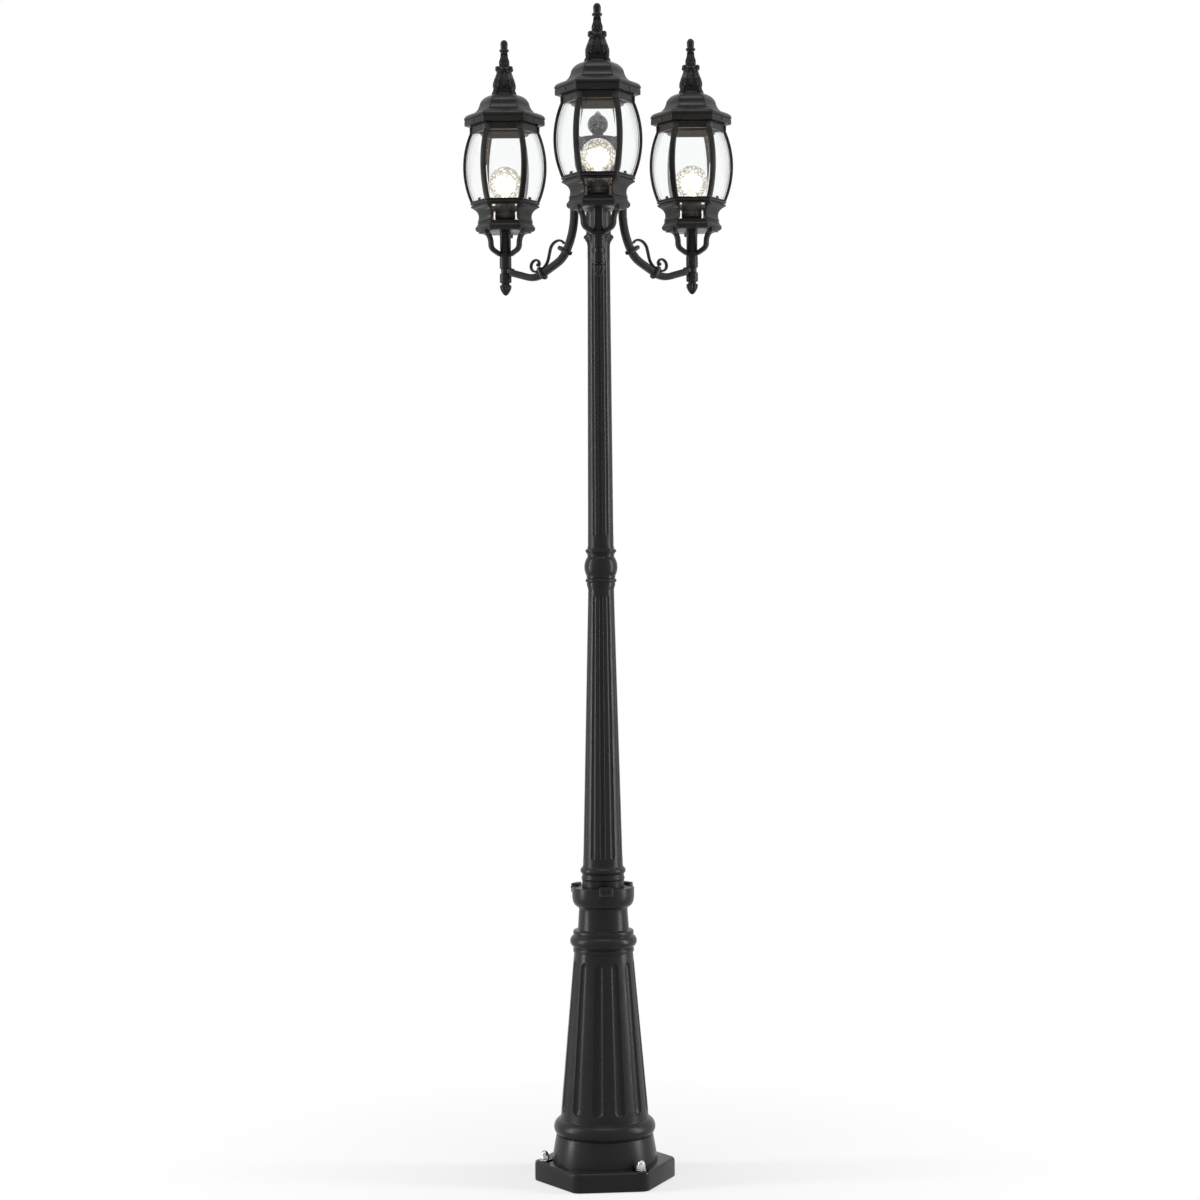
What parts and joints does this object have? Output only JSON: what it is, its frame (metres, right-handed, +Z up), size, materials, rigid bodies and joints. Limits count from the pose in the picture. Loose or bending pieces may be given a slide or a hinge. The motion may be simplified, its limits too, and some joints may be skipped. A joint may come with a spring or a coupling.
{
  "type": "triple head lamp post",
  "caption": "Garden lamp post: bowed six-sided glass lanterns with domed spired roofs on curled arms round a fluted tapered pole, standing on a fluted bolt-down base.",
  "frame": {"origin": "on the ground, at the centre of the anchor bolt circle under the base", "axes": "+Z up along the pole; the front arm reaches along -Y, and the others stand 120 degrees to each side of it"},
  "size_m": [0.5518, 0.4836, 2.3],
  "materials": {
    "black_coated_metal": "satin",
    "steel_fixings": "bright",
    "clear_glass": "clear",
    "bulb_glass": "lit, clear",
    "bulb_cap": "satin",
    "lamp_holder": "matte"
  },
  "bodies": {
    "post": {"base_casting": "black_coated_metal", "collar_screws": "steel_fixings", "anchor_washers": "steel_fixings", "anchor_nuts": "steel_fixings", "pole_lower": "black_coated_metal", "pole_upper": "black_coated_metal", "hub": "black_coated_metal", "hub_knob": "black_coated_metal", "front_arm": "black_coated_metal", "front_scroll": "black_coated_metal", "front_arm_clips": "black_coated_metal", "front_gallery": "black_coated_metal", "front_cage": "black_coated_metal", "front_glass_panes": "clear_glass", "front_drop_finial": "black_coated_metal", "front_upper_sleeve": "black_coated_metal", "front_stem": "black_coated_metal", "front_lamp_holder": "lamp_holder", "right_arm": "black_coated_metal", "right_scroll": "black_coated_metal", "right_arm_clips": "black_coated_metal", "right_gallery": "black_coated_metal", "right_cage": "black_coated_metal", "right_glass_panes": "clear_glass", "right_drop_finial": "black_coated_metal", "right_upper_sleeve": "black_coated_metal", "right_stem": "black_coated_metal", "right_lamp_holder": "lamp_holder", "left_arm": "black_coated_metal", "left_scroll": "black_coated_metal", "left_arm_clips": "black_coated_metal", "left_gallery": "black_coated_metal", "left_cage": "black_coated_metal", "left_glass_panes": "clear_glass", "left_drop_finial": "black_coated_metal", "left_upper_sleeve": "black_coated_metal", "left_stem": "black_coated_metal", "left_lamp_holder": "lamp_holder"},
    "front_roof_cap": {"front_roof": "black_coated_metal", "front_roof_screws": "steel_fixings", "front_spire": "black_coated_metal"},
    "front_bulb": {"front_bulb_base": "bulb_cap", "front_bulb_glass": "bulb_glass"},
    "right_roof_cap": {"right_roof": "black_coated_metal", "right_roof_screws": "steel_fixings", "right_spire": "black_coated_metal"},
    "right_bulb": {"right_bulb_base": "bulb_cap", "right_bulb_glass": "bulb_glass"},
    "left_roof_cap": {"left_roof": "black_coated_metal", "left_roof_screws": "steel_fixings", "left_spire": "black_coated_metal"},
    "left_bulb": {"left_bulb_base": "bulb_cap", "left_bulb_glass": "bulb_glass"}
  },
  "joints": [
    {"name": "front_roof_lift", "type": "slide", "parent": "post", "child": "front_roof_cap", "axis": [0, 0, 1], "range_m": [0, 0.12]},
    {"name": "front_bulb_lift", "type": "slide", "parent": "post", "child": "front_bulb", "axis": [0, 0, 1], "range_m": [0, 0.1]},
    {"name": "right_roof_lift", "type": "slide", "parent": "post", "child": "right_roof_cap", "axis": [0, 0, 1], "range_m": [0, 0.12]},
    {"name": "right_bulb_lift", "type": "slide", "parent": "post", "child": "right_bulb", "axis": [0, 0, 1], "range_m": [0, 0.1]},
    {"name": "left_roof_lift", "type": "slide", "parent": "post", "child": "left_roof_cap", "axis": [0, 0, 1], "range_m": [0, 0.12]},
    {"name": "left_bulb_lift", "type": "slide", "parent": "post", "child": "left_bulb", "axis": [0, 0, 1], "range_m": [0, 0.1]}
  ]
}
